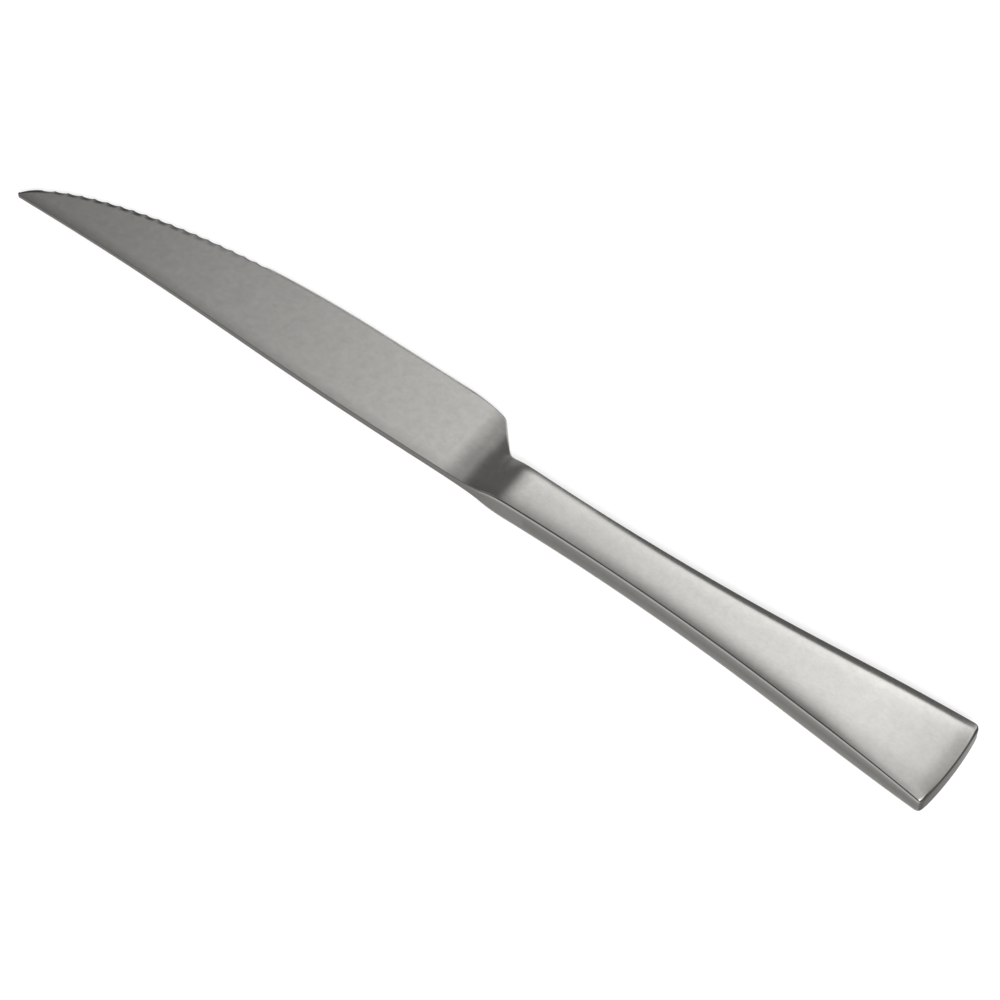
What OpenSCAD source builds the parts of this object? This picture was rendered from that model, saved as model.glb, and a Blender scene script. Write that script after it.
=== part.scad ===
// Steak knife with a hollow handle, in millimetres.
// The blade, its bolster and its tang are one forging. Two drawn half shells form the
// handle: they are brazed together along their seam, soldered to the bolster and filled.
// The knife lies on its side: +X runs towards the butt of the handle, +Y towards the
// cutting edge and +Z up. The origin lies under the middle of the knife.

/* [Blade] */
// Length of the flat blade, from the point to the start of the cove
blade_len = 114.8; // [95:0.2:130]
// Height of the cutting edge above the spine's end at the point
blade_h = 18.85; // [17:0.05:22]
// Distance from the start of the cove forward to where the edge begins to curve
belly_x = 31.5; // [20:0.5:45]
// Exponent of the curved edge: a smaller one makes a fuller belly
edge_power = 1.2; // [1.1:0.02:1.5]
// Drop of the spine below the handle's centre line, at the point
point_drop = 4.55; // [3.5:0.05:5]
// Drop of the spine below the handle's centre line, at the cove
spine_drop = 5.35; // [5:0.05:6]
// Bow of the spine towards the edge, halfway along the blade
spine_bow = 0.35; // [0:0.05:1]
// Sway of the spine: in towards the edge in front of the blade's middle, and out behind it
spine_sway = 0.4; // [0:0.05:0.8]
// Thickness of the spine at the cove
spine_t = 2; // [1.6:0.1:2.6]
// Thickness of the spine at the point
point_t = 1; // [0.8:0.1:1.4]
// Thickness of the blade behind the bevel, where the edge begins to curve
edge_t = 0.6; // [0.5:0.05:0.9]
// Width of the ground bevel along the edge
bevel_w = 0.6; // [0.4:0.1:1.4]
// Thickness left at the cutting edge
edge_land = 0.1; // [0.06:0.02:0.2]
// Radius that eases the spine's two corners
spine_ease = 0.15; // [0.1:0.05:0.3]
// Radius that blunts the point
point_r = 0.5; // [0.2:0.1:0.8]

/* [Serrations] */
// Length of the serrated part of the edge, measured along the edge
serrated_len = 54; // [20:1:70]
// Distance from the point to the first scallop
serration_start = 4.5; // [3:0.5:12]
// Distance between scallops along the edge
serration_pitch = 3; // [2:0.1:5]
// Depth of a scallop in from the edge
serration_depth = 0.3; // [0.2:0.05:0.6]
// Radius of the wheel that grinds a scallop
serration_r = 5.5; // [4:0.5:8]
// Angle of the ground scallop to the blade
serration_angle = 40; // [25:1:50]

/* [Heel] */
// Distance from the start of the cove back to the corner of the heel
heel_x = 1.95; // [1:0.05:5]
// Radius of the edge's gentle fall ahead of the heel
heel_fall_r = 40; // [25:1:60]
// Angle to which the edge falls before the heel's corner
heel_fall_angle = 14; // [8:1:18]
// Radius of the heel's round corner
heel_r = 3; // [1.5:0.5:6]
// Angle at which the heel drops to the handle
heel_angle = 48; // [40:1:60]
// Radius of the hollow where the heel meets the handle
heel_hollow_r = 4; // [2:0.5:6]
// Radius that eases the heel's blunt edge
heel_ease_r = 0.8; // [0.4:0.05:1]
// Length over which the bevel fades into the heel's blunt edge
bevel_fade = 9; // [5:0.5:12]

/* [Cove] */
// Length of the smooth cove that swells from the blade to the handle
cove_len = 18; // [15:0.5:24]
// Part of the cove's rise that an even ramp takes, from end to end
ramp_share = 0.3; // [0:0.01:0.4]
// Length over which that ramp is eased at each end
ramp_ease = 2; // [1:0.25:4]
// Distance from the start of the cove to the start of its deep part
deep_x = 4.5; // [2:0.5:6]
// Distance from the end of the deep part to the end of the cove
deep_back = 1; // [0:0.25:3]
// Exponent of the deep part: a larger one makes its middle steeper
deep_power = 3; // [2:0.1:4]

/* [Handle] */
// Length of the handle, from the end of the cove to the butt
handle_len = 103.5; // [90:0.5:115]
// Width of the handle at its waist
waist_w = 10; // [9:0.25:11]
// Distance from the end of the cove to the waist
waist_x = 13.5; // [8:0.5:20]
// Length over which the sides curve outwards behind the waist
flare_len = 55; // [40:1:65]
// Width of the handle at the butt
butt_w = 21; // [17:0.5:24]
// Height of the handle's flat side walls
side_h = 6.3; // [5.5:0.1:7.5]
// Rise of each crowned face above its side walls, where the handle starts to thin
crown_h = 0.85; // [0.85:0.05:1.2]
// Rise of the crown at the waist
waist_crown_h = 0.5; // [0.3:0.05:0.85]
// Exponent of the crown at the waist: a larger one flattens the middle of the face
crown_power = 2.6; // [2:0.1:3.5]
// Length over which the handle thins towards the butt
thin_len = 26; // [15:1:40]
// Height of the side walls at the butt
butt_side_h = 4.2; // [3.8:0.1:5.4]
// Rise of the crown at the butt
butt_crown_h = 0.6; // [0.2:0.05:0.8]
// Exponent of the crown at the butt
butt_crown_power = 6; // [2:0.1:8]
// Length over which the crown rolls off at the butt
butt_roll_len = 4; // [3:0.5:10]
// Radius that eases the long edges of the handle
arris_r = 0.5; // [0.3:0.05:1]
// Outward bow of the butt's end face
butt_bow = 0.7; // [0.2:0.1:1.2]
// Radius of the butt's corners, seen from above
butt_corner_r = 1.2; // [1:0.1:2.5]

/* [Shells] */
// Length of the bolster behind the cove, up to the joint with the shells
bolster_len = 3; // [2:0.5:6]
// Thickness of the handle shells
wall = 0.9; // [0.7:0.05:1.2]
// Thickness of the shells' end wall at the butt
end_wall = 1.8; // [1.6:0.1:2.4]

/* [Tang] */
// Length of the spigot that enters the shells
spigot_len = 5; // [3:0.5:8]
// Clearance between the spigot and the shells
spigot_gap = 0.1; // [0.05:0.05:0.2]
// Length of the tang behind the spigot
tang_len = 42; // [25:1:50]
// Width of the tang where it leaves the spigot
tang_w = 5; // [4:0.25:5.5]
// Width of the tang at its end
tang_end_w = 3.6; // [3:0.1:4]
// Thickness of the tang
tang_t = 2.4; // [1.8:0.1:3]
// Radius of the notches that key the tang into the cement
notch_r = 0.7; // [0.4:0.1:0.9]
// Distance between the notches
notch_pitch = 10; // [6:1:14]

/* [Filling] */
// Length of cement beyond the end of the tang
cement_cover = 6; // [3:1:15]
// Width of the braze bead inside the seam
seam_bead_w = 0.6; // [0.4:0.1:0.8]
// Height of the braze bead inside the seam
seam_bead_h = 1.2; // [0.8:0.1:1.6]
// Length of the solder ring behind the spigot
solder_len = 1; // [0.6:0.1:1.6]
// Clearance between the filling and what it fills
fill_gap = 0.05; // [0.02:0.01:0.1]

/* [Hidden] */
$fn = 64;

// How far a cutting tool runs past the face that it cuts
over = 1;
// Steps across a face, and along the edge, its fall, the heel, its slope, the handle, its
// cavity, the butt's roll and its round corners
face_steps = 10;
edge_steps = 22;
fall_steps = 3;
heel_steps = 6;
slope_steps = 4;
handle_steps = 22;
cavity_steps = 14;
roll_steps = 3;
round_steps = 5;
// Angle along the curved edge at which the point is closed off, just short of 90
point_angle = 85.5;
// Largest parts of the blade's height that the eased spine and the bevel take near the point
ease_share = 1 / 6;
bevel_share = 1 / 2;
// Largest part of its half thickness to which the blunt heel is rounded
heel_share = 0.8;
// Part of a radius by which the middle of a rounded corner lies inside its two faces
round_in = 1 - sin(45);

// Places along X, measured from the start of the cove
point_at = curved_edge(point_angle)[0];
cove_end = cove_len;
joint_at = cove_end + bolster_len;
spigot_end = joint_at + spigot_len;
solder_end = spigot_end + solder_len;
tang_end = spigot_end + tang_len;
cement_end = tang_end + cement_cover;
waist_at = cove_end + waist_x;
butt_at = cove_end + handle_len;
cavity_end = butt_at - end_wall;

// Height of the edge above the handle's centre line, and the handle's full thickness
edge_top = blade_h - point_drop;
thickness = side_h + 2 * crown_h;
// Length of the wheel that cuts a scallop, so that it runs clear of both faces
wheel_w = 2 * (edge_t + over) / sin(serration_angle);

// Moves the knife so that the origin lies under its middle
place = [-(point_at + butt_at) / 2, (butt_w / 2 - edge_top) / 2, thickness / 2];

// Radius of the sides behind the waist, worked out from the width at the butt
straight_len = butt_at - butt_corner_r - waist_at - flare_len;
flare_r = flare_len * (flare_len + 2 * straight_len) / (butt_w - waist_w);

// Slopes of the blade's flat face across and along the blade
face_rise = edge_top + spine_drop;
point_rise = spine_drop - point_drop;
belly_share = belly_x / blade_len;
slope_y = (edge_t - spine_t + belly_share * (spine_t - point_t)) / 2
    / (face_rise - belly_share * point_rise);
slope_x = ((spine_t - point_t) / 2 + slope_y * point_rise) / blade_len;

// Run and drop of the heel's fall and of its whole turn, and where the fall starts
fall_run = heel_fall_r * sin(heel_fall_angle);
fall_drop = heel_fall_r * (1 - cos(heel_fall_angle));
turn_run = fall_run + heel_r * (sin(heel_angle) - sin(heel_fall_angle));
turn_drop = fall_drop + heel_r * (cos(heel_fall_angle) - cos(heel_angle));
heel_start = heel_x + turn_drop / tan(heel_angle) - turn_run;
// Where the sloping heel meets the handle, and where its hollow ends
heel_foot_w = handle_w(heel_x + (edge_top - waist_w / 2) / tan(heel_angle));
heel_foot = heel_x + (edge_top - heel_foot_w) / tan(heel_angle);
hollow_end = heel_foot + heel_hollow_r * tan(heel_angle / 2);
hollow_start = hollow_end - heel_hollow_r * sin(heel_angle);

function mix(a, b, t) = a + (b - a) * t;
function share(x, from, to) = max(0, min(1, (x - from) / (to - from)));
// Smooth rise from 0 to 1: a larger power makes its middle steeper
function s_curve(t, power = 2) =
    let (half = pow(2 * min(t, 1 - t), power) / 2) t < 0.5 ? half : 1 - half;
// Even rise from 0 to 1 over a run, eased at both ends
function eased_ramp(x, run, ease) =
    let (d = min(run, max(0, x)), left = run - d)
    (d < ease ? d * d / 2 / ease : left < ease ? run - ease - left * left / 2 / ease : d - ease / 2)
    / (run - ease);
// Drop of a quarter round of radius r that ends at the given place
function end_round(x, end, r) =
    let (d = min(r, max(0, x - (end - r)))) r - sqrt(r * r - d * d);

// Share of the handle's form at a place along the cove: 0 on the blade, 1 on the handle
function cove(x) =
    mix(s_curve(share(x, deep_x, cove_end - deep_back), deep_power),
        eased_ramp(x, cove_end, ramp_ease), ramp_share);
// Share of the heel's blunt edge: 0 where the bevel is ground, 1 behind the heel
function blunt(x) = s_curve(share(x, heel_x - bevel_fade, heel_x));

// Half width of the handle
function handle_w(x) =
    let (d = x - waist_at)
    waist_w / 2 + (d < flare_len ? d * d / 2 : flare_len * (d - flare_len / 2)) / flare_r
    - end_round(x, butt_at, butt_corner_r);

// Half thickness of the handle at a point of its face
function thinned(x) = pow(share(x, butt_at - thin_len, butt_at), 2);
function side_half(x) = mix(side_h, butt_side_h, thinned(x)) / 2 - end_round(x, butt_at, arris_r);
function crown_bend(x) = mix(crown_power, butt_crown_power, share(x, waist_at, butt_at));
function crown_rise(x) =
    let (grown = mix(waist_crown_h, crown_h, share(x, waist_at, butt_at - thin_len)))
    mix(grown, butt_crown_h, pow(share(x, butt_at - butt_roll_len, butt_at), 2));
function handle_half(x, y) =
    let (u = min(1, abs(y) / handle_w(x)))
    side_half(x) + crown_rise(x) * (1 - pow(u, crown_bend(x)));

// Half thickness of the flat blade, and of the forging as a whole
function blade_half(x, y) = spine_t / 2 + slope_x * x + slope_y * (y + spine_drop);
function forged_half(x, y) = mix(blade_half(x, y), handle_half(x, y), cove(x));

// Height of the spine, which rises to the blunted point
function blade_spine(x) =
    let (t = share(-x, 0, blade_len))
    -mix(spine_drop, point_drop, t) + 4 * spine_bow * t * (1 - t) - spine_sway * sin(360 * t)
    + end_round(-x, -point_at, point_r);
function spine_y(x) = mix(blade_spine(x), -handle_w(x), cove(x));

// Curved cutting edge: a point on it at an angle from 0 at the belly to 90 at the point
function curved_edge(a) =
    [-belly_x - (blade_len - belly_x) * sin(a), blade_h * pow(cos(a), edge_power) - point_drop];
function edge_angle(x) = asin(share(-x, belly_x, blade_len));
function edge_y(x) = curved_edge(edge_angle(x))[1];
function edge_slope(x) =
    let (a = edge_angle(x))
    atan(blade_h * edge_power * pow(cos(a), edge_power - 2) * sin(a) / (blade_len - belly_x));

// Outline of the forging on the side of the cutting edge, from the point to the joint
function hollow_y(x) =
    let (d = max(0, hollow_end - x))
    handle_w(x) + heel_hollow_r - sqrt(heel_hollow_r * heel_hollow_r - d * d);
edge_path = concat(
    [for (i = [0 : edge_steps]) curved_edge(point_angle * (1 - i / edge_steps))],
    [for (i = [1 : heel_steps]) [mix(-belly_x, heel_start, i / heel_steps), edge_top]],
    [for (i = [1 : fall_steps]) let (a = heel_fall_angle * i / fall_steps)
        [heel_start + heel_fall_r * sin(a), edge_top - heel_fall_r * (1 - cos(a))]],
    [for (i = [1 : heel_steps]) let (a = mix(heel_fall_angle, heel_angle, i / heel_steps))
        [heel_start + fall_run + heel_r * (sin(a) - sin(heel_fall_angle)),
         edge_top - fall_drop - heel_r * (cos(heel_fall_angle) - cos(a))]],
    [for (i = [1 : slope_steps - 1])
        let (x = mix(heel_start + turn_run, hollow_start, i / slope_steps))
        [x, edge_top - (x - heel_x) * tan(heel_angle)]],
    [for (i = [0 : heel_steps]) let (x = mix(hollow_start, hollow_end, i / heel_steps)) [x, hollow_y(x)]],
    [for (i = [1 : heel_steps]) let (x = mix(hollow_end, joint_at, i / heel_steps)) [x, handle_w(x)]]
);

// Place across a face from 0 to 1, for steps that get shorter towards its sides
function spread(j) = (1 - cos(180 * j / face_steps)) / 2;

// One row of points across the forging's upper face, from the spine to the edge
function forged_row(x, edge) =
    let (
        spine = spine_y(x),
        room = edge - spine,
        ease = min(mix(spine_ease, arris_r, cove(x)), room * ease_share),
        heel_round = mix(heel_ease_r, arris_r, cove(x)),
        heel_ease = min(heel_round, forged_half(x, edge) * heel_share, room * ease_share),
        bevel = min(mix(bevel_w, heel_ease, blunt(x)), room * bevel_share),
        bevel_in = mix(0.5, round_in, blunt(x)) * bevel,
        first = spine + ease,
        last = edge - bevel,
        edge_half = forged_half(x, last),
        land = mix(edge_land / 2, edge_half - heel_ease, blunt(x)),
        shoulder = mix((edge_half + edge_land / 2) / 2, edge_half - round_in * heel_ease, blunt(x))
    )
    concat(
        [[x, spine, forged_half(x, first) - ease],
         [x, spine + round_in * ease, forged_half(x, first) - round_in * ease]],
        [for (j = [0 : face_steps]) let (y = mix(first, last, spread(j))) [x, y, forged_half(x, y)]],
        [[x, edge - bevel_in, shoulder],
         [x, edge, land]]
    );

// One row of points across the upper face of the handle
function bowed(x, y) = x - butt_bow * pow(2 * y / butt_w, 2) * share(x, butt_at - thin_len, butt_at);
function handle_row(x) =
    let (
        w = handle_w(x),
        corner = round_in * arris_r,
        inner = w - arris_r,
        top = handle_half(x, inner),
        flank = [[w, top - arris_r], [w - corner, top - corner]],
        face = [for (j = [0 : face_steps])
            let (y = mix(-inner, inner, spread(j))) [y, handle_half(x, y)]],
        across = concat([for (p = flank) [-p[0], p[1]]], face, [flank[1], flank[0]])
    )
    [for (p = across) [bowed(x, p[0]), p[0], p[1]]];

// One row of points across the roof of the handle's cavity, or of a body inset from it
function cavity_row(x, inset) =
    let (w = handle_w(min(x, butt_at - butt_corner_r)) - wall - inset)
    [for (j = [0 : face_steps])
        let (y = mix(-w, w, spread(j))) [x, y, handle_half(x, y) - wall - inset]];

// Solid between the rows of its upper face and their mirror images below
module loft(rows) {
    n = len(rows);
    m = len(rows[0]);
    points = concat([for (r = rows) for (p = r) p], [for (r = rows) for (p = r) [p[0], p[1], -p[2]]]);
    below = n * m;
    function quad(a, b, c, d) = [[a, b, c], [a, c, d]];
    upper = [for (i = [0 : n - 2]) for (j = [0 : m - 2]) let (k = i * m + j) each
        quad(k, k + 1, k + m + 1, k + m)];
    lower = [for (f = upper) [f[2] + below, f[1] + below, f[0] + below]];
    sides = [for (i = [0 : n - 2]) let (k = i * m, q = k + m - 1) each concat(
        quad(k, k + m, k + m + below, k + below), quad(q, q + below, q + m + below, q + m))];
    ends = [for (j = [0 : m - 2]) let (q = (n - 1) * m + j) each concat(
        quad(j, j + below, j + 1 + below, j + 1), quad(q, q + 1, q + 1 + below, q + below))];
    polyhedron(points, concat(upper, lower, sides, ends));
}

module handle_form() {
    roll_at = butt_at - butt_roll_len;
    corner_at = butt_at - butt_corner_r;
    straight = [for (i = [0 : handle_steps]) mix(joint_at, roll_at, i / handle_steps)];
    rolled = [for (i = [1 : roll_steps]) mix(roll_at, corner_at, i / roll_steps)];
    turned = [for (i = [1 : round_steps]) corner_at + butt_corner_r * sin(90 * i / round_steps)];
    loft([for (x = concat(straight, rolled, turned)) handle_row(x)]);
}

module cavity(from, to, inset = 0, steps = cavity_steps) {
    loft([for (i = [0 : steps]) cavity_row(mix(from, to, i / steps), inset)]);
}

// Cuts one scallop with a wheel that is held across the edge
module scallop(x) {
    turn = edge_slope(x);
    translate([x, edge_y(x), 0])
        rotate([0, 0, turn])
        translate([0, -serration_depth, -edge_land / 2])
        rotate([-90 - serration_angle, 0, 0])
        translate([0, -serration_r, 0])
        cylinder(r = serration_r, h = wheel_w, center = true);
}

module serrations() {
    count = floor(serrated_len / serration_pitch);
    for (x = [for (i = 0, x = point_at + serration_start; i < count;
              i = i + 1, x = x + serration_pitch * cos(edge_slope(x))) x])
        scallop(x);
}

module spigot() {
    intersection() {
        cavity(joint_at - over, spigot_end + over, spigot_gap, 1);
        translate([joint_at - over / 2, -butt_w / 2, -thickness / 2])
            cube([spigot_len + over / 2, butt_w, thickness]);
    }
}

module tang() {
    root = spigot_end - over;
    linear_extrude(height = tang_t, center = true)
        difference() {
            polygon([[root, -tang_w / 2], [tang_end, -tang_end_w / 2],
                     [tang_end, tang_end_w / 2], [root, tang_w / 2]]);
            for (x = [spigot_end + notch_pitch : notch_pitch : tang_end - 2 * notch_r])
                for (side = [-1, 1])
                    translate([x, side * mix(tang_w, tang_end_w, share(x, root, tang_end)) / 2])
                        circle(r = notch_r);
        }
}

// Plan of the braze bead: it lines the cavity's side walls and its end
module bead_plan(inset) {
    xs = [for (i = [0 : cavity_steps]) mix(solder_end + fill_gap, cavity_end - inset, i / cavity_steps)];
    function half(x) = handle_w(min(x, butt_at - butt_corner_r)) - wall - inset;
    polygon(concat([for (x = xs) [x, half(x)]], [for (i = [len(xs) - 1 : -1 : 0]) [xs[i], -half(xs[i])]]));
}

module bead(grow = 0) {
    linear_extrude(height = seam_bead_h + 2 * grow, center = true)
        difference() {
            bead_plan(fill_gap - 2 * grow);
            translate([-fill_gap - over, 0])
                bead_plan(fill_gap + seam_bead_w + grow);
            bead_plan(fill_gap + seam_bead_w + grow);
        }
}

module half_shell() {
    difference() {
        intersection() {
            handle_form();
            translate([joint_at - over, -butt_w / 2 - over, 0])
                cube([handle_len, butt_w + 2 * over, thickness]);
        }
        cavity(joint_at - over, cavity_end);
    }
}

module blade() {
    color("lightgray") translate(place) {
        difference() {
            loft([for (p = edge_path) forged_row(p[0], p[1])]);
            serrations();
        }
        spigot();
        tang();
    }
}

module upper_handle_shell() {
    color("silver") translate(place) half_shell();
}

module lower_handle_shell() {
    color("darkgray") translate(place) mirror([0, 0, 1]) half_shell();
}

module seam_braze() {
    color("gold") translate(place) bead();
}

module bolster_solder() {
    color("khaki") translate(place)
        difference() {
            cavity(spigot_end, solder_end, fill_gap, 1);
            cavity(spigot_end - over, solder_end + over, fill_gap + seam_bead_w, 1);
        }
}

module tang_cement() {
    color("tan") translate(place)
        difference() {
            cavity(solder_end + fill_gap, cement_end, fill_gap);
            tang();
            bead(fill_gap);
        }
}

module handle_filler() {
    color("burlywood") translate(place)
        difference() {
            cavity(cement_end, cavity_end - fill_gap, fill_gap);
            bead(fill_gap);
        }
}

blade();
upper_handle_shell();
lower_handle_shell();
seam_braze();
bolster_solder();
tang_cement();
handle_filler();
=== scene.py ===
"""Steak knife: a part-serrated blade that swells through a cove into a hollow steel handle."""
from math import acos, asin, atan, cos, hypot, pi, radians, sin, sqrt, tan

import bmesh
import bpy
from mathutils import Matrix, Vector


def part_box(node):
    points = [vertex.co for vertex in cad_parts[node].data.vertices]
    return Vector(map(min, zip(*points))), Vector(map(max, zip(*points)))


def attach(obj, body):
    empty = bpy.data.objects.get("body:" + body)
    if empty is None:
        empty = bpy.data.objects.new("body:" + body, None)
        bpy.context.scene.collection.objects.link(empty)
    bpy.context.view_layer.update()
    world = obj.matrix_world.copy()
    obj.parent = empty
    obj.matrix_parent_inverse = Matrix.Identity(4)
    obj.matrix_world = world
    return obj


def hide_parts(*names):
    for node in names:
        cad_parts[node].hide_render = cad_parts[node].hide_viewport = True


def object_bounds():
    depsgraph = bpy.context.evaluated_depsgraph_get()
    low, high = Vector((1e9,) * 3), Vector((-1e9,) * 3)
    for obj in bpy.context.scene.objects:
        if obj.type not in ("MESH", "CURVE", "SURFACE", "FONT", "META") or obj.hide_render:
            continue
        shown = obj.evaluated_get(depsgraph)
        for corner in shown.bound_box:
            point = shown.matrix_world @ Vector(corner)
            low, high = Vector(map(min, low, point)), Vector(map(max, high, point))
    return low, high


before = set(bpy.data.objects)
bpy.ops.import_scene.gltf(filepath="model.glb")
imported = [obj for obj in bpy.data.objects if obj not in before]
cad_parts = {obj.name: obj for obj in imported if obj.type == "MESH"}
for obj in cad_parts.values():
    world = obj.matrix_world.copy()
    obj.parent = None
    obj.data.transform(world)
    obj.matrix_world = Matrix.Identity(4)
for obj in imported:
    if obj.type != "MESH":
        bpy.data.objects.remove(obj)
cad_low, cad_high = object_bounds()

# Sizes of the knife in millimetres, and where the frame holds it
MM = 0.001

BLADE_LEN = 114.8
BELLY_X = 31.5
EDGE_POWER = 1.2
POINT_DROP = 4.55
SPINE_DROP = 5.35
SPINE_BOW = 0.35
SPINE_SWAY = 0.4
SPINE_T = 2
POINT_T = 1
EDGE_T = 0.6
BEVEL_W = 0.6
EDGE_LAND = 0.1
SPINE_EASE = 0.15
POINT_R = 0.5
POINT_ANGLE = radians(85.5)

SERRATED_LEN = 54
SERRATION_START = 4.5
SERRATION_PITCH = 3
SERRATION_DEPTH = 0.3
SERRATION_R = 5.5
SERRATION_ANGLE = radians(40)

HEEL_X = 2.35
HEEL_FALL_R = 40
HEEL_FALL_ANGLE = radians(14)
HEEL_R = 3
HEEL_ANGLE = radians(48)
HEEL_HOLLOW_R = 4
HEEL_EASE_R = 0.8
BEVEL_FADE = 9

COVE_LEN = 18
RAMP_SHARE = 0.3
RAMP_EASE = 4
DEEP_X = 4.5
DEEP_BACK = 1
DEEP_POWER = 3
BOLSTER_LEN = 3
WAIST_W = 10
WAIST_X = 13.5
FLARE_LEN = 55
SIDE_H = 6.3
WAIST_CROWN_H = 0.5
CROWN_POWER = 2.6
THIN_LEN = 26
BUTT_SIDE_H = 4.2
BUTT_CROWN_H = 0.6
BUTT_CROWN_POWER = 6
BUTT_ROLL_LEN = 4
ARRIS_R = 0.5
BUTT_BOW = 0.7
BUTT_CORNER_R = 1.2

WALL = 0.9
END_WALL = 1.8
SPIGOT_LEN = 5
SPIGOT_GAP = 0.1
TANG_LEN = 42
TANG_W = 5
TANG_END_W = 3.6
TANG_T = 2.4
NOTCH_R = 0.7
NOTCH_PITCH = 10
INNER_R = 0.1

shell_low, shell_high = (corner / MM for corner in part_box("upper_handle_shell"))
_, blade_high = (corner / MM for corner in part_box("blade"))
JOINT_AT = COVE_LEN + BOLSTER_LEN
COVE_X = shell_low.x - JOINT_AT
AXIS_Y = (shell_low.y + shell_high.y) / 2
MID_Z = shell_low.z
BUTT_AT = shell_high.x - COVE_X
BUTT_W = shell_high.y - shell_low.y
EDGE_TOP = blade_high.y - AXIS_Y
CROWN_H = shell_high.z - MID_Z - SIDE_H / 2

BLADE_H = EDGE_TOP + POINT_DROP
POINT_AT = -BELLY_X - (BLADE_LEN - BELLY_X) * sin(POINT_ANGLE)
WAIST_AT = COVE_LEN + WAIST_X
SPIGOT_END = JOINT_AT + SPIGOT_LEN
TANG_END = SPIGOT_END + TANG_LEN
CAVITY_END = BUTT_AT - END_WALL
STRAIGHT_LEN = BUTT_AT - BUTT_CORNER_R - WAIST_AT - FLARE_LEN
FLARE_R = FLARE_LEN * (FLARE_LEN + 2 * STRAIGHT_LEN) / (BUTT_W - WAIST_W)

BELLY_SHARE = BELLY_X / BLADE_LEN
POINT_RISE = SPINE_DROP - POINT_DROP
FACE_RISE = EDGE_TOP + SPINE_DROP - BELLY_SHARE * POINT_RISE
SLOPE_Y = (EDGE_T - SPINE_T + BELLY_SHARE * (SPINE_T - POINT_T)) / 2 / FACE_RISE
SLOPE_X = ((SPINE_T - POINT_T) / 2 + SLOPE_Y * POINT_RISE) / BLADE_LEN

# Steps of the meshes
FACE_STEPS = 24
ROUND_STEPS = 8
SCALLOP_STEPS = 12
POINT_STEPS = 10
PLAIN_STEP = 2
FORGED_STEP = 0.35
HANDLE_STEP = 1
END_STEPS = 3
SHARP_ANGLE = radians(14)
EASE_SHARE = 1 / 6
HEEL_SHARE = 0.8
BEVEL_SHARE = 1 / 2
HAIR = 0.01
MERGE = 0.001 * MM

# Painted shade and painted glint of the steel, standing in for its dark and bright reflections, and the
# turns and places at which they change
LEAST_TILT = 0.01
SIDE_TURN = 0.3, 0.6
ARRIS_TURN = radians(24), radians(31)
GLINT_TURN = radians(48), radians(60)
WALL_TURN = radians(62), radians(80)
# painted shade of the side walls and the butt's end face; GLINT_TONE is a lighter painted glint under the
# near arris
WALL_PAINTED_SHADE = 0.8
END_PAINTED_SHADE = 0.9
GLINT_TONE = 0.5
GLINT_H = 0.6
HEEL_CLEAR = 45
SPINE_SHADE = 0.38, 0.22
SPINE_FADE = 2.6
SPINE_CLEAR = 60, 25
GROUND_TURN = radians(14), radians(20)
CUT_TURN = radians(36), radians(40)
GROUND_FROM = -95, -65
SCALLOP_PAINTED_SHADE = 0.9
SCALLOP_RIM = 1.4, 0.95
SCALLOP_FADE = -60, -88


# Outlines and thicknesses of the knife
def mix(a, b, t):
    return a + (b - a) * t


def share(x, start, end):
    return min(1, max(0, (x - start) / (end - start)))


def s_curve(t, power=2):
    """Smooth rise from 0 to 1: a larger power makes its middle steeper."""
    half = (2 * min(t, 1 - t)) ** power / 2
    return half if t < 0.5 else 1 - half


def eased_ramp(x, run, ease):
    """Even rise from 0 to 1 over a run, eased at both ends."""
    x = min(run, max(0, x))
    left = run - x
    if x < ease:
        risen = x * x / 2 / ease
    elif left < ease:
        risen = run - ease - left * left / 2 / ease
    else:
        risen = x - ease / 2
    return risen / (run - ease)


def end_round(x, end, radius):
    """Drop of a quarter round that ends at the given place."""
    run = min(radius, max(0, x - (end - radius)))
    return radius - sqrt(radius * radius - run * run)


def cove(x):
    """Share of the handle's form: 0 on the blade, 1 on the handle."""
    deep = s_curve(share(x, DEEP_X, COVE_LEN - DEEP_BACK), DEEP_POWER)
    return mix(deep, eased_ramp(x, COVE_LEN, RAMP_EASE), RAMP_SHARE)


def handle_w(x):
    """Half width of the handle."""
    run = x - WAIST_AT
    swept = run * run / 2 if run < FLARE_LEN else FLARE_LEN * (run - FLARE_LEN / 2)
    return WAIST_W / 2 + swept / FLARE_R - end_round(x, BUTT_AT, BUTT_CORNER_R)


def handle_half(x, y):
    """Half thickness of the handle: its side wall and its crown."""
    thinned = share(x, BUTT_AT - THIN_LEN, BUTT_AT) ** 2
    side = mix(SIDE_H, BUTT_SIDE_H, thinned) / 2 - end_round(x, BUTT_AT, ARRIS_R)
    grown = mix(WAIST_CROWN_H, CROWN_H, share(x, WAIST_AT, BUTT_AT - THIN_LEN))
    crown = mix(grown, BUTT_CROWN_H, share(x, BUTT_AT - BUTT_ROLL_LEN, BUTT_AT) ** 2)
    bend = mix(CROWN_POWER, BUTT_CROWN_POWER, share(x, WAIST_AT, BUTT_AT))
    return side + crown * (1 - min(1, abs(y) / handle_w(x)) ** bend)


def forged_half(x, y):
    """Half thickness of the forging: a flat, tapered blade that swells to the handle."""
    flat = SPINE_T / 2 + SLOPE_X * x + SLOPE_Y * (y + SPINE_DROP)
    return mix(flat, handle_half(x, y), cove(x))


def spine_y(x):
    along = share(-x, 0, BLADE_LEN)
    spine = -mix(SPINE_DROP, POINT_DROP, along) + 4 * SPINE_BOW * along * (1 - along)
    spine += end_round(-x, -POINT_AT, POINT_R) - SPINE_SWAY * sin(2 * pi * along)
    return mix(spine, -handle_w(x), cove(x))


def spine_round(x):
    return mix(SPINE_EASE, ARRIS_R, cove(x))


def edge_angle(x):
    return asin(share(-x, BELLY_X, BLADE_LEN))


def edge_slope(x):
    a = edge_angle(x)
    return atan(BLADE_H * EDGE_POWER * cos(a) ** (EDGE_POWER - 2) * sin(a) / (BLADE_LEN - BELLY_X))


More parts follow.
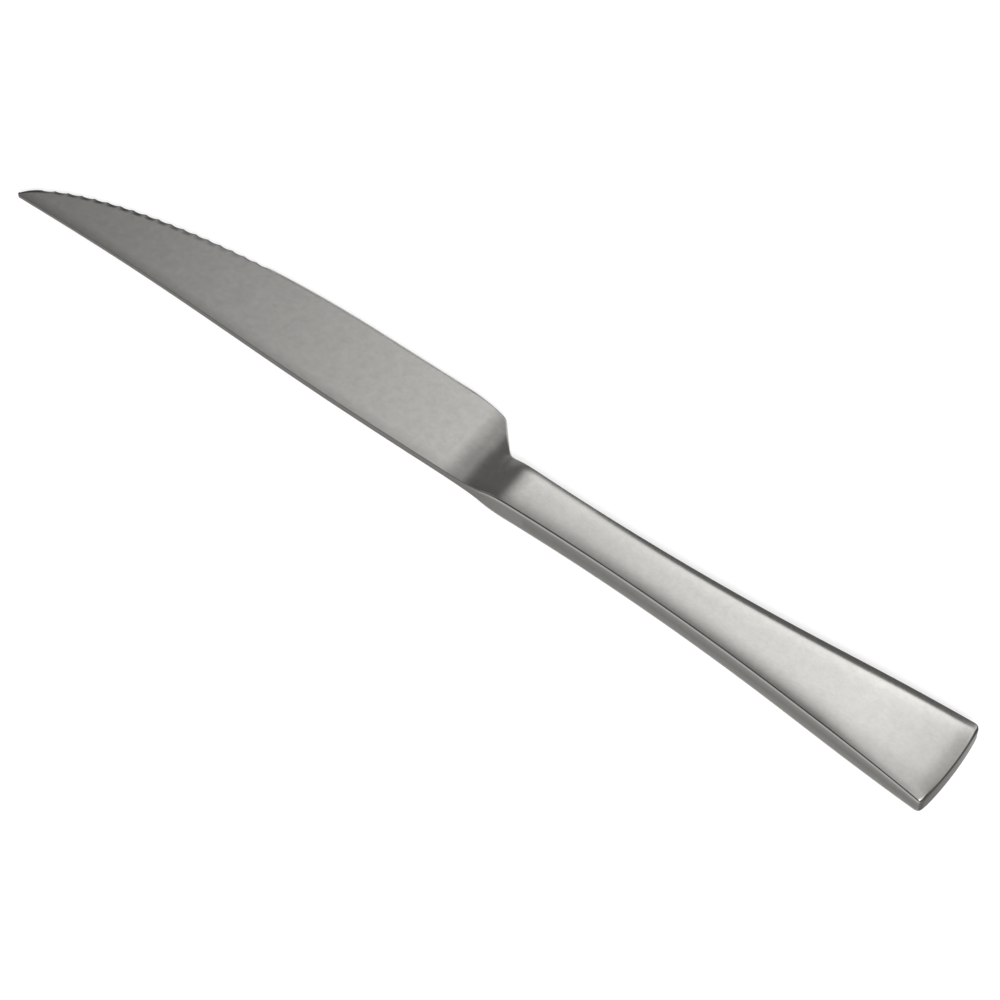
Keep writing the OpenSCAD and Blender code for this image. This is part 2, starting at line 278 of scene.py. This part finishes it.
FALL_RUN = HEEL_FALL_R * sin(HEEL_FALL_ANGLE)
FALL_DROP = HEEL_FALL_R * (1 - cos(HEEL_FALL_ANGLE))
TURN_RUN = FALL_RUN + HEEL_R * (sin(HEEL_ANGLE) - sin(HEEL_FALL_ANGLE))
TURN_DROP = FALL_DROP + HEEL_R * (cos(HEEL_FALL_ANGLE) - cos(HEEL_ANGLE))
HEEL_START = HEEL_X + TURN_DROP / tan(HEEL_ANGLE) - TURN_RUN
HEEL_CORNER = HEEL_START + FALL_RUN
HEEL_TURNED = HEEL_START + TURN_RUN
HEEL_FOOT_W = handle_w(HEEL_X + (EDGE_TOP - WAIST_W / 2) / tan(HEEL_ANGLE))
HEEL_FOOT = HEEL_X + (EDGE_TOP - HEEL_FOOT_W) / tan(HEEL_ANGLE)
HOLLOW_END = HEEL_FOOT + HEEL_HOLLOW_R * tan(HEEL_ANGLE / 2)
HOLLOW_START = HOLLOW_END - HEEL_HOLLOW_R * sin(HEEL_ANGLE)


def outline_y(x):
    """Outline on the side of the cutting edge: belly, round heel, slope, hollow, handle."""
    if x < HEEL_START:
        return BLADE_H * cos(edge_angle(x)) ** EDGE_POWER - POINT_DROP
    if x < HEEL_CORNER:
        return EDGE_TOP - HEEL_FALL_R + sqrt(HEEL_FALL_R ** 2 - (x - HEEL_START) ** 2)
    if x < HEEL_TURNED:
        run = x - HEEL_CORNER + HEEL_R * sin(HEEL_FALL_ANGLE)
        return EDGE_TOP - FALL_DROP - HEEL_R * cos(HEEL_FALL_ANGLE) + sqrt(HEEL_R ** 2 - run ** 2)
    if x < HOLLOW_START:
        return EDGE_TOP - (x - HEEL_X) * tan(HEEL_ANGLE)
    left = max(0, HOLLOW_END - x)
    return handle_w(x) + HEEL_HOLLOW_R - sqrt(HEEL_HOLLOW_R ** 2 - left ** 2)


def blunt(x):
    """Share of the heel's blunt edge: 0 where the bevel is ground, 1 behind the heel."""
    return s_curve(share(x, HEEL_X - BEVEL_FADE, HEEL_X))


def scallop_places():
    x = POINT_AT + SERRATION_START
    for _ in range(int(SERRATED_LEN / SERRATION_PITCH)):
        yield x
        x += SERRATION_PITCH * cos(edge_slope(x))


SCALLOPS = list(scallop_places())


# Cross-sections, as points (y, z) from the spine's side to the edge's side
def arris(wall_y, half, radius, side):
    """Round from the side wall up to the face; side is -1 at the spine and 1 at the edge."""
    centre = wall_y - side * radius
    lean = atan((half(centre) - half(centre + side * HAIR)) / HAIR)
    foot = half(centre + side * radius * sin(lean)) - radius * cos(lean)
    turns = [mix(pi / 2, lean, k / ROUND_STEPS) for k in range(ROUND_STEPS + 1)]
    return [(centre + side * radius * sin(a), foot + radius * cos(a)) for a in turns]


def wall_arris(wall_y, half, radius, side):
    """The same round with a point of the wall under it."""
    turned = arris(wall_y, half, radius, side)
    foot = turned[0][1]
    return [(wall_y, foot - min(GLINT_H, foot / 2))] + turned


def across(first, last):
    """Places between two ends, closer together near the ends."""
    return [mix(first, last, (1 - cos(pi * k / FACE_STEPS)) / 2) for k in range(1, FACE_STEPS)]


def straight(first, last, steps):
    return [tuple(mix(a, b, k / steps) for a, b in zip(first, last)) for k in range(steps + 1)]


def upper_face(near, far, half):
    return near + [(y, half(y)) for y in across(near[-1][0], far[0][0])] + far


def rounded_face(wide, half, radius):
    """Upper half of a section with a round corner at each side."""
    near = wall_arris(-wide, half, radius, -1)
    far = wall_arris(wide, half, radius, 1)[::-1]
    return upper_face(near, far, half)


def ground_edge(x, edge, room):
    """Upper and lower points of the edge: a bevel, cut by a scallop, or the heel's blunt round."""
    dull = blunt(x)
    heel_round = mix(HEEL_EASE_R, ARRIS_R, cove(x))
    ease = min(heel_round, forged_half(x, edge) * HEEL_SHARE, room * EASE_SHARE)
    bevel = min(mix(BEVEL_W, ease, dull), room * BEVEL_SHARE)
    shoulder = forged_half(x, edge - bevel)
    plain = straight((edge - bevel, shoulder), (edge, EDGE_LAND / 2), ROUND_STEPS)
    turned = arris(edge, lambda y: forged_half(x, y), ease, 1)[::-1]
    upper = [tuple(mix(a, b, dull) for a, b in zip(p, q)) for p, q in zip(plain, turned)]

    place = min(SCALLOPS, key=lambda centre: abs(x - centre))
    lean = cos(edge_slope(x))
    off = (x - place) / lean
    if abs(off) > SERRATION_PITCH:
        return upper, upper
    # Heights of the bevel, the face and the wheel's cut, by the distance in from the edge
    rise = tan(SERRATION_ANGLE)
    sag = SERRATION_R - sqrt(SERRATION_R ** 2 - off ** 2)
    lift = sag / cos(SERRATION_ANGLE) - EDGE_LAND / 2 - rise * SERRATION_DEPTH
    steep = (shoulder - EDGE_LAND / 2) / (bevel * lean)
    top_in = (EDGE_LAND / 2 - lift) / (rise - steep)
    if top_in <= 0:
        return upper, upper
    shoulder_in = bevel * lean
    if top_in > shoulder_in:
        flat = -SLOPE_Y / lean
        top_in = shoulder_in = (shoulder - flat * shoulder_in - lift) / (rise - flat)
    edge_in = max(0, -(EDGE_LAND / 2 + lift) / (rise + steep))

    def at(inward, z):
        return edge - inward / lean, z

    ridge = at(shoulder_in, forged_half(x, edge - shoulder_in / lean))
    cut = straight(at(top_in, rise * top_in + lift), at(edge_in, rise * edge_in + lift), ROUND_STEPS - 1)
    under = straight((edge - bevel, shoulder), at(edge_in, -rise * edge_in - lift), ROUND_STEPS)
    return [ridge] + cut, under


def closed(upper, lower):
    """Ring of points round a section, which ends where it starts."""
    ring = upper + [(y, -z) for y, z in reversed(lower)]
    return ring + ring[:1]


def forged_ring(x):
    spine, edge = spine_y(x), outline_y(x)
    room = edge - spine

    def half(y):
        return forged_half(x, y)

    near = wall_arris(spine, half, min(spine_round(x), room * EASE_SHARE), -1)
    return closed(*(upper_face(near, far, half) for far in ground_edge(x, edge, room)))


def spigot_ring(x):
    inset = WALL + SPIGOT_GAP
    face = rounded_face(handle_w(x) - inset, lambda y: handle_half(x, y) - inset, INNER_R)
    return closed(face, face)


def tang_ring(x):
    wide = mix(TANG_W, TANG_END_W, share(x, SPIGOT_END, TANG_END)) / 2
    step = round((x - SPIGOT_END) / NOTCH_PITCH)
    off = x - SPIGOT_END - max(1, step) * NOTCH_PITCH
    wide -= sqrt(max(0, NOTCH_R ** 2 - off ** 2))
    face = rounded_face(wide, lambda y: TANG_T / 2, INNER_R)
    return closed(face, face)


# Places of the cross-sections along the knife
def stretch(start, end, step):
    count = max(1, round((end - start) / step))
    return [mix(start, end, k / count) for k in range(count)]


def blade_places():
    front = SCALLOPS[0] - SERRATION_PITCH / 2 * cos(edge_slope(SCALLOPS[0]))
    point = [mix(POINT_AT, front, (k / POINT_STEPS) ** 2) for k in range(POINT_STEPS)]
    offs = [SERRATION_PITCH * (k / SCALLOP_STEPS - 0.5) for k in range(SCALLOP_STEPS)]
    cut = [centre + off * cos(edge_slope(centre)) for centre in SCALLOPS for off in offs]
    back = 2 * SCALLOPS[-1] - cut[-SCALLOP_STEPS]
    plain = stretch(back, HEEL_X - BEVEL_FADE, PLAIN_STEP)
    forged = stretch(HEEL_X - BEVEL_FADE, JOINT_AT, FORGED_STEP)
    return point + cut + plain + forged + [JOINT_AT - HAIR, JOINT_AT]


def tang_places():
    places = [SPIGOT_END]
    for notch in range(1, int((TANG_LEN - 2 * NOTCH_R) / NOTCH_PITCH) + 1):
        centre = SPIGOT_END + notch * NOTCH_PITCH
        places += [centre - NOTCH_R * cos(pi * k / ROUND_STEPS) for k in range(ROUND_STEPS + 1)]
    return places + [TANG_END]


# Meshes
def to_frame(x, y, z):
    return Vector((COVE_X + x, AXIS_Y + y, MID_Z + z)) * MM


def wrap_sheet(bm, rows):
    """Lays out a sheet of faces and moves its points onto rows of equal length."""
    made = bmesh.ops.create_grid(bm, x_segments=len(rows[0]) - 1, y_segments=len(rows) - 1, size=1)
    for vert, point in zip(made["verts"], (point for row in rows for point in row)):
        vert.co = to_frame(*point)
    return made["verts"]


def ground(x, normal):
    """Coarse finish of a point: on the plain bevel of the edge, not in the scallops."""
    tilt = acos(min(1, abs(normal.z)))
    bevel = share(tilt, *GROUND_TURN) * (1 - share(tilt, *CUT_TURN))
    return bevel * share(normal.y, 0, LEAST_TILT) * share(x, *GROUND_FROM) * share(x, 0, -BEVEL_FADE)


def scallop_shade(x, y, z):
    """Painted shade: a dark rim of the upper face along the point's edge and the middle of each scallop,
    standing in for the scallops' dark reflections.
    """
    place = min(SCALLOPS, key=lambda centre: abs(x - centre))
    off = 0 if x < SCALLOPS[0] else (x - place) / cos(edge_slope(x))
    notch = cos(pi * min(0.5, abs(off) / SERRATION_PITCH))
    rim = share(outline_y(x) - y, *SCALLOP_RIM) * share(x, *SCALLOP_FADE)
    return SCALLOP_PAINTED_SHADE * rim * notch if z > 0 else 0


def painted_shade(x, y, z, normal):
    """Painted shade of a point, standing in for dark reflections: on the walls, the arrises, the scallops
    and the spine, not the heel; lighter where a painted glint runs under the spine-side arris.
    """
    tilt = acos(min(1, abs(normal.z)))
    level = max(LEAST_TILT, hypot(normal.x, normal.y))
    off_heel = share(x, HEEL_X, HEEL_X - BEVEL_FADE) + share(x, HOLLOW_START, HEEL_CLEAR)
    edge_side = share(normal.y / level, *SIDE_TURN) * off_heel
    spine_side = share(-normal.y / level, *SIDE_TURN)
    end_side = share(normal.x / level, *SIDE_TURN) if x > BUTT_AT - THIN_LEN else 0
    spine = spine_y(x)
    below = forged_half(x, spine) - spine_round(x) - abs(z)
    glint = mix(mix(WALL_PAINTED_SHADE, GLINT_TONE, cove(x)), WALL_PAINTED_SHADE, share(below, 0, GLINT_H))
    turned = share(tilt, *ARRIS_TURN)
    wall = share(tilt, *WALL_TURN)
    by_spine = share(y - spine, SPINE_FADE, 0) * share(x, *SPINE_CLEAR)
    return max(
        scallop_shade(x, y, z),
        mix(turned, WALL_PAINTED_SHADE, wall) * edge_side * (1 - ground(x, normal)),
        mix(turned, END_PAINTED_SHADE, wall) * end_side,
        # painted glint: a lighter line under the arris on the spine's side, over a painted dark line on the
        # arris
        mix(turned, glint, share(tilt, *GLINT_TURN)) * spine_side,
        # painted shade darkening the blade's face towards the spine
        mix(*SPINE_SHADE, share(x, POINT_AT, 0)) * by_spine,
    )


def mark_shade_and_finish(bm, verts):
    """Keeps the painted shade and the coarse finish of each point of a skin."""
    bm.normal_update()
    tone = bm.verts.layers.float["painted_shade"]
    coarse = bm.verts.layers.float["ground"]
    for vert in verts:
        x, y, z = vert.co / MM - Vector((COVE_X, AXIS_Y, MID_Z))
        vert[tone] = painted_shade(x, y, z, vert.normal)
        vert[coarse] = ground(x, vert.normal)


def finish_piece(name, bm, material):
    """Turns the faces outwards, smooths all but the sharp edges and links the piece."""
    bmesh.ops.recalc_face_normals(bm, faces=bm.faces)
    for face in bm.faces:
        face.smooth = True
    for edge in bm.edges:
        edge.smooth = len(edge.link_faces) == 2 and edge.calc_face_angle() < SHARP_ANGLE
    mesh = bpy.data.meshes.new(name)
    bm.to_mesh(mesh)
    bm.free()
    mesh.materials.append(material)
    piece = bpy.data.objects.new(name, mesh)
    bpy.context.scene.collection.objects.link(piece)
    return piece


def new_bmesh():
    bm = bmesh.new()
    # per-point painted shade, standing in for dark reflections
    bm.verts.layers.float.new("painted_shade")
    bm.verts.layers.float.new("ground")
    return bm


def model_blade(material):
    """Blade, heel, cove, bolster, spigot and tang, as one forging."""
    sections = [(x, forged_ring(x)) for x in blade_places()]
    sections += [(x, spigot_ring(x)) for x in (JOINT_AT, SPIGOT_END)]
    sections += [(x, tang_ring(x)) for x in tang_places()]
    bm = new_bmesh()
    wrap_sheet(bm, [[(x, y, z) for y, z in ring] for x, ring in sections])
    bmesh.ops.remove_doubles(bm, verts=bm.verts, dist=MERGE)
    bmesh.ops.holes_fill(bm, edges=[edge for edge in bm.edges if edge.is_boundary], sides=0)
    bmesh.ops.recalc_face_normals(bm, faces=bm.faces)
    mark_shade_and_finish(bm, bm.verts)
    return finish_piece("forged_blade", bm, material)


def bowed(x, y):
    return x - BUTT_BOW * (2 * y / BUTT_W) ** 2 * share(x, BUTT_AT - THIN_LEN, BUTT_AT)


def shell_skin(bm, places, inset, radius, bend):
    """One skin of the upper half shell, from the joint round the butt to the seam."""
    rows = []
    for x in places:
        wide = handle_w(min(x, BUTT_AT - BUTT_CORNER_R) if inset else x) - inset
        face = rounded_face(wide, lambda y: handle_half(x, y) - inset, radius)
        row = [(wide, 0)] + face[::-1] + [(-wide, 0)]
        rows.append([(bend(x, y), y, z) for y, z in row])
    for k in range(1, END_STEPS + 1):
        rows.append([(x, y, z * (1 - k / END_STEPS)) for x, y, z in rows[len(places) - 1]])
    verts = wrap_sheet(bm, rows)
    mark_shade_and_finish(bm, verts)


def model_shell(name, material, side):
    """Half of the hollow handle; side is 1 for the upper half and -1 for the lower one."""
    corner = BUTT_AT - BUTT_CORNER_R
    places = stretch(JOINT_AT, corner, HANDLE_STEP)
    places += [corner + BUTT_CORNER_R * sin(pi / 2 * k / ROUND_STEPS) for k in range(ROUND_STEPS + 1)]
    within = [mix(JOINT_AT, CAVITY_END, share(x, JOINT_AT, BUTT_AT)) for x in places]
    bm = new_bmesh()
    shell_skin(bm, places, 0, ARRIS_R, bowed)
    shell_skin(bm, within, WALL, INNER_R, lambda x, y: x)
    bmesh.ops.remove_doubles(bm, verts=bm.verts, dist=MERGE)
    bmesh.ops.bridge_loops(bm, edges=[edge for edge in bm.edges if edge.is_boundary])
    for vert in bm.verts:
        vert.co.z = MID_Z * MM + side * (vert.co.z - MID_Z * MM)
    return finish_piece(name, bm, material)


# Colours and finishes
WHITE = (1, 1, 1, 1)
PALE_STEEL = (0.625, 0.615, 0.59, 1)
# colour of the painted shade, and the tint that dims reflections under it
PAINTED_SHADE_COLOUR = (0.07, 0.068, 0.064, 1)
PAINTED_SHADE_TINT = (0.45, 0.45, 0.45, 1)
SATIN_ROUGHNESS = 0.18
GROUND_ROUGHNESS = 0.4
WORN_ROUGHNESS = 0.12
CLOUD_SCALE = 560
CLOUD_DETAIL = 4
CLOUD_ROUGHNESS = 0.62
SCRATCH_SCALE = 1000, 2600, 2600
SCRATCH_DETAIL = 2
SCRATCH_BUMP = 0.06
SCRATCH_DEPTH = 0.00002
BLADE_CLOUDS = 0.26
BLADE_SCRATCHES = 0.12
SHELL_CLOUDS = 0.2
SHELL_SCRATCHES = 0.13
GRAIN_DETAIL = 6
GRAIN_BUMP = 0.3
GRAIN_DEPTH = 0.0001
FLOOR_COLOURS = (0.62, 0.62, 0.62, 1), (0.66, 0.66, 0.66, 1)
FLOOR_GRAIN = 3
FLOOR_ROUGHNESS = 0.9


# Materials
def add_node(tree, kind, inputs=None, **settings):
    """Adds a node; inputs holds values or sockets to link, by name or number."""
    node = tree.nodes.new(kind)
    for key, value in settings.items():
        setattr(node, key, value)
    for key, value in (inputs or {}).items():
        if isinstance(value, bpy.types.NodeSocket):
            tree.links.new(value, node.inputs[key])
        else:
            node.inputs[key].default_value = value
    return node


def satin_group():
    """Tumbled satin finish: cloudy tone, short fine scratches, and their height."""
    group = bpy.data.node_groups.new("satin_finish", "ShaderNodeTree")
    new_socket = group.interface.new_socket
    new_socket("Place", in_out="INPUT", socket_type="NodeSocketVector")
    for name in ("Clouds", "Scratches"):
        new_socket(name, in_out="INPUT", socket_type="NodeSocketFloat")
    for name in ("Tone", "Wear", "Height"):
        new_socket(name, in_out="OUTPUT", socket_type="NodeSocketFloat")
    start = group.nodes.new("NodeGroupInput").outputs
    end = group.nodes.new("NodeGroupOutput").inputs

    clouds = add_node(group, "ShaderNodeTexNoise", {
        "Vector": start["Place"],
        "Scale": CLOUD_SCALE,
        "Detail": CLOUD_DETAIL,
        "Roughness": CLOUD_ROUGHNESS,
    })
    drawn = add_node(group, "ShaderNodeMapping", {"Vector": start["Place"], "Scale": SCRATCH_SCALE})
    lines = add_node(group, "ShaderNodeTexNoise", {
        "Vector": drawn.outputs[0],
        "Scale": 1,
        "Detail": SCRATCH_DETAIL,
    })

    def centred(value, amount):
        level = add_node(group, "ShaderNodeMath", {0: value, 1: 0.5}, operation="SUBTRACT")
        scaled = {0: level.outputs[0], 1: amount}
        return add_node(group, "ShaderNodeMath", scaled, operation="MULTIPLY").outputs[0]

    cloud = centred(clouds.outputs["Fac"], start["Clouds"])
    line = centred(lines.outputs["Fac"], start["Scratches"])
    tone = add_node(group, "ShaderNodeMath", {0: cloud, 1: line}, operation="ADD")
    group.links.new(tone.outputs[0], end["Tone"])
    group.links.new(line, end["Wear"])
    group.links.new(lines.outputs["Fac"], end["Height"])
    return group


def steel(name, finish, clouds, scratches):
    """Satin steel with painted shade on its arrises, walls, scallops and spine, which also dims their
    reflections.
    """
    material = bpy.data.materials.new(name)
    material.use_nodes = True
    tree = material.node_tree
    shader = tree.nodes["Principled BSDF"]
    place = add_node(tree, "ShaderNodeTexCoord").outputs["Object"]
    satin = add_node(tree, "ShaderNodeGroup", node_tree=finish)
    tree.links.new(place, satin.inputs["Place"])
    satin.inputs["Clouds"].default_value = clouds
    satin.inputs["Scratches"].default_value = scratches
    # painted shade of each point, mixed into the colour
    shade = add_node(tree, "ShaderNodeAttribute", attribute_name="painted_shade").outputs["Fac"]
    colours = {"Factor": shade, "A": PALE_STEEL, "B": PAINTED_SHADE_COLOUR}
    colour = add_node(tree, "ShaderNodeMix", colours, data_type="RGBA")
    tone = add_node(tree, "ShaderNodeMath", {0: satin.outputs["Tone"], 1: 1}, operation="ADD")
    toned = add_node(tree, "ShaderNodeVectorMath", {0: colour.outputs["Result"]}, operation="SCALE")
    tree.links.new(tone.outputs[0], toned.inputs["Scale"])
    tree.links.new(toned.outputs[0], shader.inputs["Base Color"])
    # the painted shade also dims the reflections there
    rim = {"Factor": shade, "A": WHITE, "B": PAINTED_SHADE_TINT}
    shade_tint = add_node(tree, "ShaderNodeMix", rim, data_type="RGBA")
    tree.links.new(shade_tint.outputs["Result"], shader.inputs["Specular Tint"])
    wear = {0: satin.outputs["Wear"], 1: WORN_ROUGHNESS, 2: SATIN_ROUGHNESS}
    worn = add_node(tree, "ShaderNodeMath", wear, operation="MULTIPLY_ADD")
    coarse = add_node(tree, "ShaderNodeAttribute", attribute_name="ground").outputs["Fac"]
    grinding = {0: coarse, 1: GROUND_ROUGHNESS, 2: worn.outputs[0]}
    rough = add_node(tree, "ShaderNodeMath", grinding, operation="MULTIPLY_ADD")
    tree.links.new(rough.outputs[0], shader.inputs["Roughness"])
    bump = add_node(tree, "ShaderNodeBump", {
        "Height": satin.outputs["Height"],
        "Strength": SCRATCH_BUMP,
        "Distance": SCRATCH_DEPTH,
    })
    tree.links.new(bump.outputs["Normal"], shader.inputs["Normal"])
    shader.inputs["Metallic"].default_value = 1
    return material


def mottled(name, first, second, scale, roughness, metallic=0):
    """Cast or set material with two mingled colours."""
    material = bpy.data.materials.new(name)
    material.use_nodes = True
    tree = material.node_tree
    shader = tree.nodes["Principled BSDF"]
    place = add_node(tree, "ShaderNodeTexCoord").outputs["Object"]
    grain_size = {"Vector": place, "Scale": scale, "Detail": GRAIN_DETAIL}
    grain = add_node(tree, "ShaderNodeTexNoise", grain_size).outputs["Fac"]
    colours = {"Factor": grain, "A": first, "B": second}
    colour = add_node(tree, "ShaderNodeMix", colours, data_type="RGBA")
    tree.links.new(colour.outputs["Result"], shader.inputs["Base Color"])
    relief = {"Height": grain, "Strength": GRAIN_BUMP, "Distance": GRAIN_DEPTH}
    bump = add_node(tree, "ShaderNodeBump", relief)
    tree.links.new(bump.outputs["Normal"], shader.inputs["Normal"])
    shader.inputs["Roughness"].default_value = roughness
    shader.inputs["Metallic"].default_value = metallic
    return material


# Pieces of the knife
satin_finish = satin_group()
blade_steel = steel("blade_steel", satin_finish, BLADE_CLOUDS, BLADE_SCRATCHES)
shell_steel = steel("shell_steel", satin_finish, SHELL_CLOUDS, SHELL_SCRATCHES)

blade = model_blade(blade_steel)
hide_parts("blade")
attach(blade, "root")
for side, node in ((1, "upper_handle_shell"), (-1, "lower_handle_shell")):
    shell = model_shell(node + "_satin", shell_steel, side)
    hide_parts(node)
    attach(shell, "root")

INNER_MATERIALS = {
    "seam_braze": mottled(
        "braze_metal", (0.62, 0.44, 0.18, 1), (0.78, 0.62, 0.32, 1), scale=900, roughness=0.35, metallic=1),
    "bolster_solder": mottled(
        "solder_metal", (0.55, 0.55, 0.53, 1), (0.74, 0.74, 0.72, 1), scale=900, roughness=0.4, metallic=1),
    "tang_cement": mottled(
        "set_cement", (0.42, 0.37, 0.3, 1), (0.62, 0.57, 0.48, 1), scale=500, roughness=0.85),
    "handle_filler": mottled(
        "grey_filler", (0.3, 0.27, 0.22, 1), (0.52, 0.47, 0.4, 1), scale=700, roughness=0.9),
}
for node, material in INNER_MATERIALS.items():
    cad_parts[node].data.materials.clear()
    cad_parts[node].data.materials.append(material)


# Camera at the photograph's viewing angle
VIEW_AZIMUTH = radians(36.96)
VIEW_ELEVATION = radians(58.53)
VIEW_DISTANCE = 0.72
VIEW_TARGET = Vector((10.68, -5.39, 4)) * MM
VIEW_LENS = 127.63

towards_camera = Vector((
    cos(VIEW_ELEVATION) * sin(VIEW_AZIMUTH),
    -cos(VIEW_ELEVATION) * cos(VIEW_AZIMUTH),
    sin(VIEW_ELEVATION),
))
camera = bpy.data.objects.new("camera", bpy.data.cameras.new("camera"))
camera.data.lens = VIEW_LENS
camera.location = VIEW_TARGET + towards_camera * VIEW_DISTANCE
camera.rotation_euler = towards_camera.to_track_quat("Z", "Y").to_euler()
bpy.context.scene.collection.objects.link(camera)
bpy.context.scene.camera = camera


# Floor, which looks white to the camera and in the steel and keeps the knife's shadow
FLOOR_SIZE = 5
FLOOR_GLOW = 0.45


def floor_material():
    material = mottled("pale_floor", *FLOOR_COLOURS, FLOOR_GRAIN, FLOOR_ROUGHNESS)
    tree = material.node_tree
    path = add_node(tree, "ShaderNodeLightPath").outputs
    shader = tree.nodes["Principled BSDF"]
    seen = path["Is Camera Ray"]
    for ray in ("Is Glossy Ray", "Is Transmission Ray"):
        seen = add_node(tree, "ShaderNodeMath", {0: seen, 1: path[ray]}, operation="MAXIMUM").outputs[0]
    glow = add_node(tree, "ShaderNodeMath", {0: seen, 1: FLOOR_GLOW}, operation="MULTIPLY")
    tree.links.new(glow.outputs[0], shader.inputs["Emission Strength"])
    shader.inputs["Emission Color"].default_value = WHITE
    return material


bm = bmesh.new()
bmesh.ops.create_grid(bm, x_segments=1, y_segments=1, size=FLOOR_SIZE)
bmesh.ops.translate(bm, verts=bm.verts, vec=(0, 0, cad_low.z))
floor_mesh = bpy.data.meshes.new("floor")
bm.to_mesh(floor_mesh)
bm.free()
floor = bpy.data.objects.new("floor", floor_mesh)
floor_mesh.materials.append(floor_material())
bpy.context.scene.collection.objects.link(floor)


# Soft studio light: a broad window behind the knife, fills round it and a lamp near the camera
WINDOW_LEVEL = 1.9
WINDOW_LEFT = -0.52, -0.13
WINDOW_RIGHT = -0.31, 0.19
WINDOW_RIGHT_LEVEL = 0.48
WINDOW_NEAR = -0.45, 0.95
WINDOW_FOOT = 0.64, 0.66
OVERHEAD_LEVEL = 0.33
OVERHEAD_LEFT = -0.28, -0.16
OVERHEAD_FAR = 0.35, -0.05
OVERHEAD_FOOT = 0.7, 0.85
AMBIENT = 0.13
# Softboxes: direction, cosines of their outer and inner rims, level
FILLS = (
    ((-0.3, -0.94, 0.14), (0.85, 0.97), 0.8),
    ((0.45, -0.5, 0.74), (0.82, 0.94), 0.8),
    ((-0.8, -0.45, 0.4), (0.77, 0.97), 0.6),
    ((0.9, 0, 0.4), (0.77, 0.97), 0.6),
    ((0.5, 0.75, 0.4), (0.77, 0.97), 0.6),
    ((-0.62, 0.73, 0.28), (0.95, 0.985), 0.17),
)
LAMP_FROM = Vector((0.45, -0.5, 0.8))
LAMP_DISTANCE = 1.5
LAMP_SIZE = 0.4
LAMP_POWER = 13

world = bpy.data.worlds.new("studio")
world.use_nodes = True
bpy.context.scene.world = world
sky = world.node_tree
direction = add_node(sky, "ShaderNodeTexCoord").outputs["Generated"]
along, away, above = add_node(sky, "ShaderNodeSeparateXYZ", {0: direction}).outputs


def ramp(value, turn, low=0, high=1):
    """Light that changes smoothly from low to high over the turn."""
    ends = {"Value": value, "From Min": turn[0], "From Max": turn[1], "To Min": low, "To Max": high}
    return add_node(sky, "ShaderNodeMapRange", ends, interpolation_type="SMOOTHSTEP").outputs["Result"]


def joined(operation, first, second):
    return add_node(sky, "ShaderNodeMath", {0: first, 1: second}, operation=operation).outputs[0]


def softbox(centre, turn, level):
    middle = Vector(centre).normalized()
    facing = add_node(sky, "ShaderNodeVectorMath", {0: direction, 1: middle}, operation="DOT_PRODUCT")
    return ramp(facing.outputs["Value"], turn, high=level)


window = ramp(along, WINDOW_RIGHT, WINDOW_LEVEL, WINDOW_RIGHT_LEVEL)
window = joined("MULTIPLY", window, ramp(along, WINDOW_LEFT))
window = joined("MULTIPLY", window, ramp(away, WINDOW_NEAR))
window = joined("MULTIPLY", window, ramp(above, WINDOW_FOOT))
overhead = joined("MULTIPLY", ramp(along, OVERHEAD_LEFT, high=OVERHEAD_LEVEL), ramp(away, OVERHEAD_FAR))
overhead = joined("MULTIPLY", overhead, ramp(above, OVERHEAD_FOOT))
light = joined("ADD", joined("ADD", window, overhead), AMBIENT)
for fill in FILLS:
    light = joined("ADD", light, softbox(*fill))
sky.links.new(light, sky.nodes["Background"].inputs["Strength"])
sky.nodes["Background"].inputs["Color"].default_value = WHITE

lamp_light = bpy.data.lights.new("lamp", "AREA")
lamp_light.shape = "DISK"
lamp_light.size = LAMP_SIZE
lamp_light.energy = LAMP_POWER
lamp = bpy.data.objects.new("lamp", lamp_light)
lamp.location = LAMP_FROM.normalized() * LAMP_DISTANCE
lamp.rotation_euler = LAMP_FROM.to_track_quat("Z", "Y").to_euler()
bpy.context.scene.collection.objects.link(lamp)

bpy.context.scene.view_settings.view_transform = "Standard"
